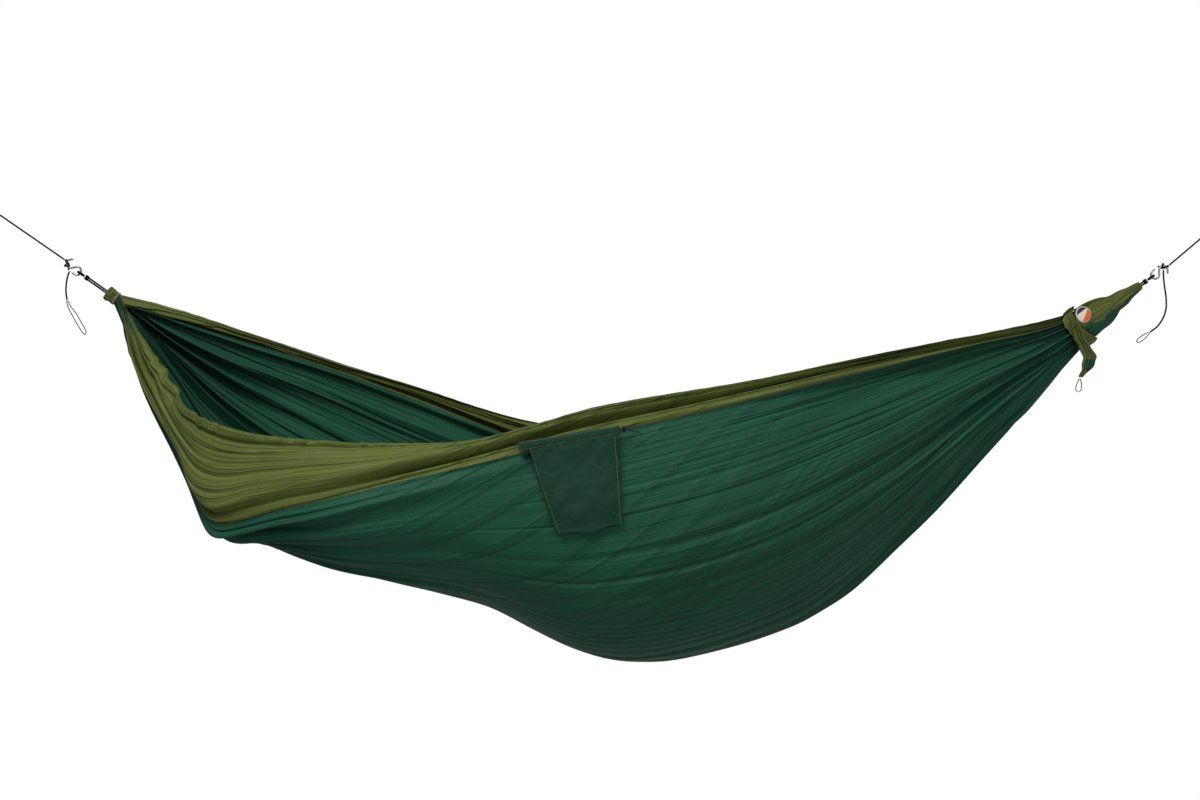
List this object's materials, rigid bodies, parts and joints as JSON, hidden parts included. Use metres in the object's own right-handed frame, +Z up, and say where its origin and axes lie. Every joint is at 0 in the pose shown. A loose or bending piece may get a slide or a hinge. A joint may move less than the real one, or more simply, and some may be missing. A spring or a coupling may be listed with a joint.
{
  "type": "hanging hammock",
  "caption": "Long two-tone nylon camping hammock hung by two ropes and S-hooks, with a drawcord stuff sack sewn to one side.",
  "frame": {"origin": "bearing point of the left tree loop on its tree", "axes": "+X along the hammock towards the right tree, +Z up, -Y towards the side that carries the stuff sack"},
  "size_m": [3.0493, 0.6366, 1.1456],
  "materials": {
    "forest_nylon": "soft sheen",
    "olive_nylon": "soft sheen",
    "rope": "braided",
    "steel": "satin",
    "trim": "woven"
  },
  "bodies": {
    "tree_ends": {"left_tree_loop": "rope", "left_tree_knot": "rope", "right_tree_loop": "rope", "right_tree_knot": "rope"},
    "suspension": {"left_rope": "rope", "left_hitch": "rope", "left_s_hook": "steel", "right_rope": "rope", "right_hitch": "rope", "right_s_hook": "steel"},
    "bed": {"centre_panel": "forest_nylon", "near_side_panel": "olive_nylon", "far_side_panel": "olive_nylon", "near_seam": "olive_nylon", "far_seam": "olive_nylon", "left_end_channel": "olive_nylon", "right_end_channel": "olive_nylon", "left_end_loop": "rope", "left_end_loop_second": "rope", "right_end_loop": "rope", "right_end_loop_second": "rope", "left_loop_knot": "rope", "right_loop_knot": "rope", "end_wrap_cone": "olive_nylon", "end_wrap_twist": "olive_nylon", "end_wrap_flap": "olive_nylon", "round_patch": "trim"},
    "left_tail": {"left_tail": "rope", "left_tail_loop": "rope"},
    "right_tail": {"right_tail": "rope", "right_tail_loop": "rope"},
    "webbing_loop": {"webbing_loop": "trim"},
    "sack": {"sack_pouch": "forest_nylon", "sack_casing_back": "forest_nylon", "sack_casing_front": "forest_nylon"},
    "drawcord": {"drawcord": "rope", "drawcord_second": "rope", "drawcord_knot": "rope", "drawcord_tail": "rope", "drawcord_tail_second": "rope"}
  },
  "joints": [
    {"name": "hammock_swing", "type": "hinge", "parent": "tree_ends", "child": "suspension", "pos_m": [0.05104, 0, -0.0352], "axis": [0.9997, 0, -0.0251], "range_deg": [-40, 40]},
    {"name": "bed_roll", "type": "hinge", "parent": "suspension", "child": "bed", "pos_m": [0.289, 0, -0.206], "axis": [1, 0, -0.0035], "range_deg": [-35, 35]},
    {"name": "left_tail_swing", "type": "hinge", "parent": "suspension", "child": "left_tail", "pos_m": [0.2639, 0, -0.1931], "axis": [0.9854, 0, -0.1701], "range_deg": [-60, 60]},
    {"name": "right_tail_swing", "type": "hinge", "parent": "suspension", "child": "right_tail", "pos_m": [2.8881, 0, -0.1882], "axis": [1, 0, 0], "range_deg": [-60, 60]},
    {"name": "sack_swing", "type": "hinge", "parent": "bed", "child": "sack", "pos_m": [1.4625, -0.3095, -0.5875], "axis": [-0.986, 0, -0.1668], "range_deg": [0, 100]},
    {"name": "drawcord_pull", "type": "slide", "parent": "sack", "child": "drawcord", "axis": [0.986, 0, 0.1668], "range_m": [0, 0.06]},
    {"name": "webbing_loop_swing", "type": "hinge", "parent": "bed", "child": "webbing_loop", "pos_m": [2.6668, -0.0704, -0.4585], "axis": [0, 1, 0], "range_deg": [-15, 15]}
  ]
}
